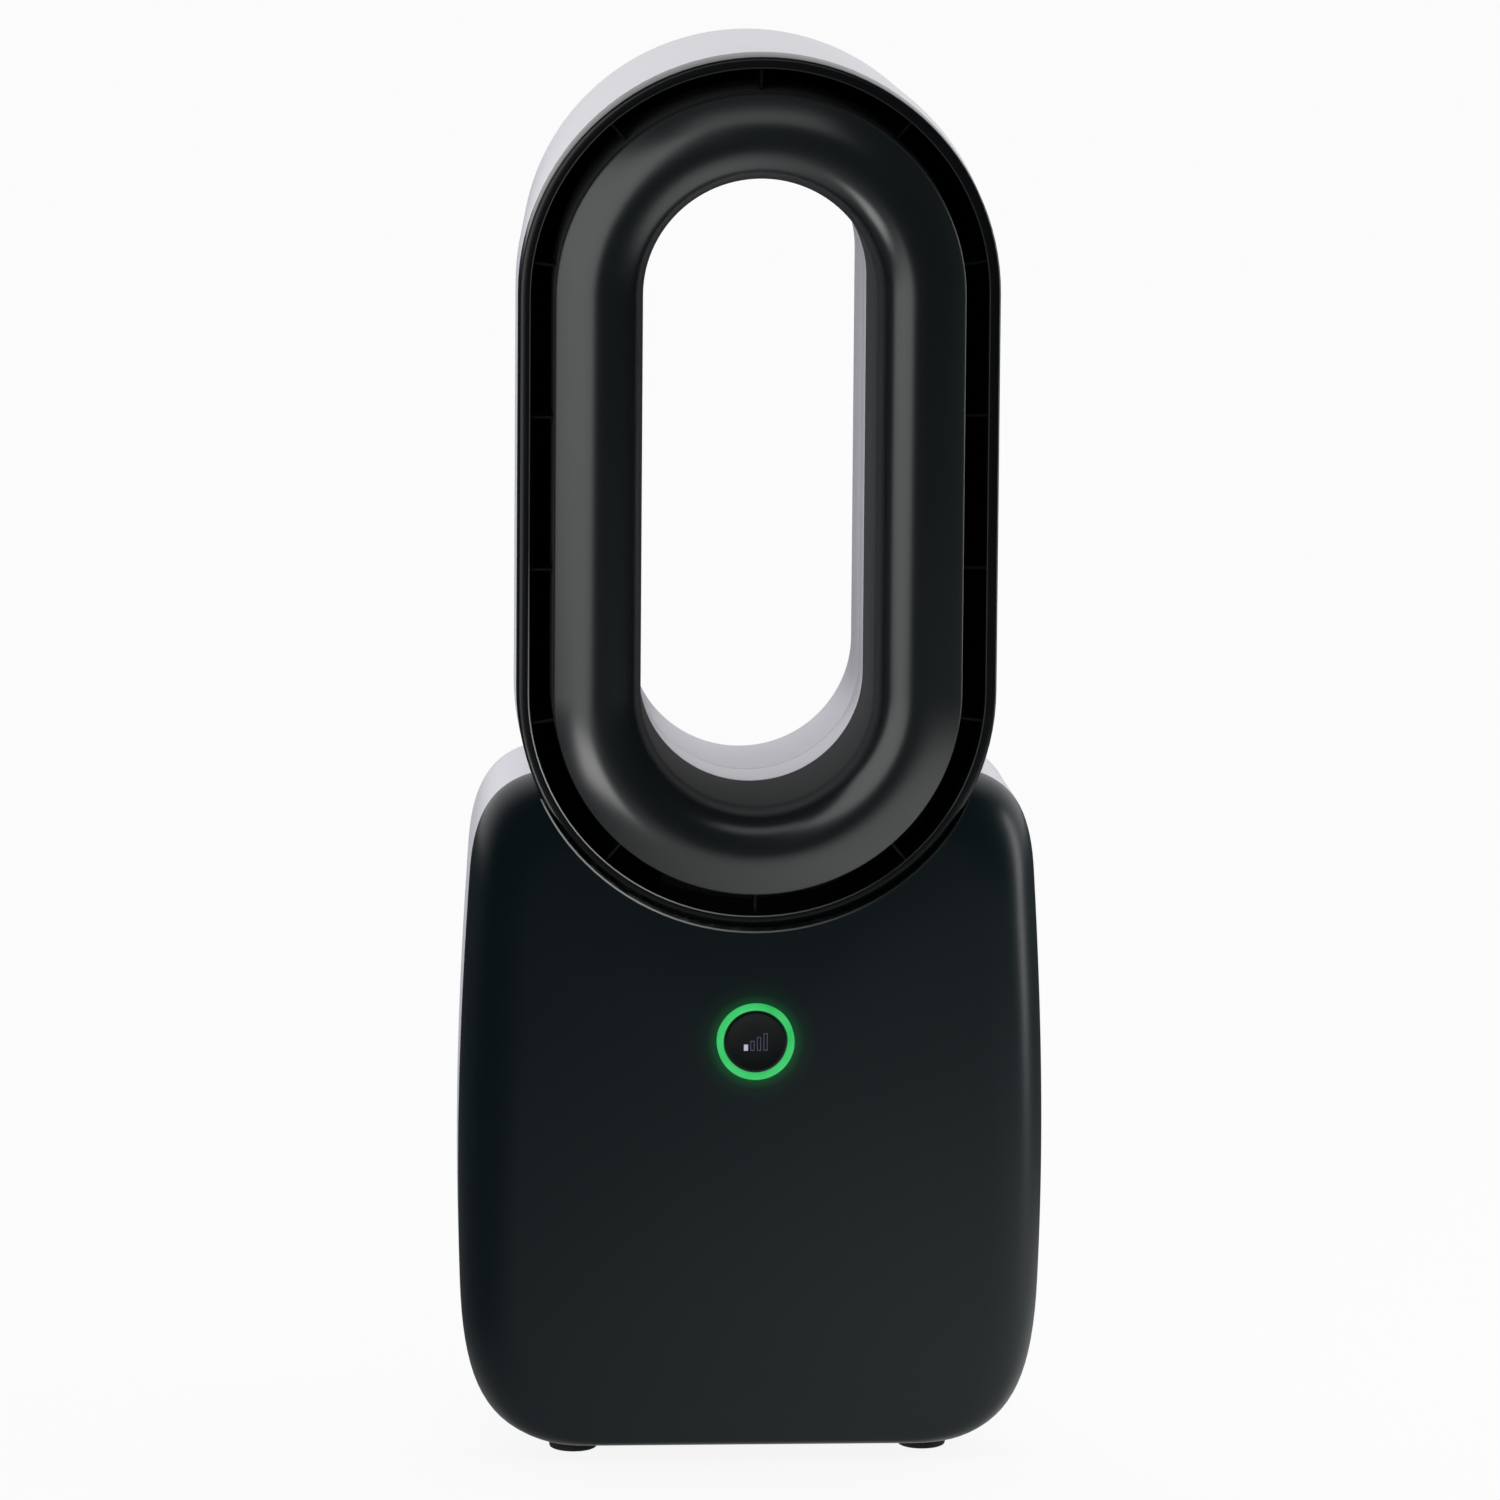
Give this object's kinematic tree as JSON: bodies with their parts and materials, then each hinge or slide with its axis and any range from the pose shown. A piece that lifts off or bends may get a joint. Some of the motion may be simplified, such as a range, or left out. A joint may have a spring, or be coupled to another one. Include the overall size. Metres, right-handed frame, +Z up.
{
  "type": "bladeless fan",
  "caption": "Bladeless fan: an upright stadium-shaped air loop standing in the saddle of a pillow-shaped base, with a lit front button and a rear filter cover.",
  "frame": {"origin": "on the floor, at the centre of the fan's box and on the axis that the fan swings about", "axes": "+Z up, -Y out of the front with the button, +X to the right as seen from the front"},
  "size_m": [0.242, 0.15, 0.5927],
  "materials": {
    "satin_black": "satin",
    "gloss_black": "soft gloss",
    "rim_black": "gloss",
    "pale_shell": "satin",
    "grey_plastic": "moulded",
    "dark_plastic": "moulded",
    "rubber": "matte",
    "steel": "plain",
    "white_nylon": "moulded",
    "board_green": "lacquered board",
    "light_green": "lit ring",
    "filter_paper": "pleated paper"
  },
  "bodies": {
    "foot": {"foot_plate": "dark_plastic", "foot_pad_front_left": "rubber", "foot_pad_front_right": "rubber", "foot_pad_rear_left": "rubber", "foot_pad_rear_right": "rubber", "thrust_ring": "white_nylon", "swing_sector": "white_nylon", "pivot_retainer": "steel"},
    "fan_body": {"base_floor": "dark_plastic", "base_front_panel": "satin_black", "base_rear_shell": "pale_shell", "floor_screw_1": "steel", "floor_screw_2": "steel", "floor_screw_3": "steel", "floor_screw_4": "steel", "swing_motor": "steel", "swing_motor_bracket": "steel", "loop_rear_shell_top": "pale_shell", "loop_rear_shell_left": "pale_shell", "loop_rear_shell_right": "pale_shell", "loop_rear_shell_bottom": "pale_shell", "loop_front_rim": "rim_black", "loop_inner_ring_top": "gloss_black", "loop_inner_ring_left": "gloss_black", "loop_inner_ring_right": "gloss_black", "loop_inner_ring_bottom": "gloss_black", "loop_liner": "pale_shell", "loop_screw_left": "steel", "loop_screw_right": "steel", "air_duct": "grey_plastic", "duct_seal": "rubber", "blower_housing": "grey_plastic", "blower_inlet": "grey_plastic", "motor_carrier": "grey_plastic", "motor_isolator": "rubber", "fan_motor": "steel", "light_ring": "light_green", "button_switch": "dark_plastic", "control_board": "board_green", "power_board": "board_green", "capacitor": "dark_plastic", "transformer": "dark_plastic", "mains_inlet": "dark_plastic"},
    "blower_rotor": {"impeller": "white_nylon", "impeller_nut": "steel", "motor_shaft": "steel"},
    "swing_drive": {"swing_pinion": "white_nylon", "swing_shaft": "steel"},
    "power_button": {"button_cap": "gloss_black"},
    "filter_cover": {"rear_cover": "pale_shell", "filter_frame": "grey_plastic", "filter_pleats": "filter_paper"}
  },
  "joints": [
    {"name": "body_swing", "type": "hinge", "parent": "foot", "child": "fan_body", "pos_m": [0, 0, 0.02], "axis": [0, 0, 1], "range_deg": [-35, 35]},
    {"name": "impeller_spin", "type": "hinge", "parent": "fan_body", "child": "blower_rotor", "pos_m": [0, -0.006, 0.08], "axis": [0, 0, 1], "continuous": true},
    {"name": "pinion_turn", "type": "hinge", "parent": "fan_body", "child": "swing_drive", "pos_m": [0, 0.0375, 0.017], "axis": [0, 0, 1], "range_deg": [-142, 142]},
    {"name": "button_press", "type": "slide", "parent": "fan_body", "child": "power_button", "axis": [0, 1, 0], "range_m": [0, 0.0008], "stiffness_N_per_m": 400},
    {"name": "cover_pull", "type": "slide", "parent": "fan_body", "child": "filter_cover", "axis": [0, 1, 0], "range_m": [0, 0.07]}
  ],
  "couplings": [
    {"joint": "pinion_turn", "follows": "body_swing", "ratio": 4}
  ]
}
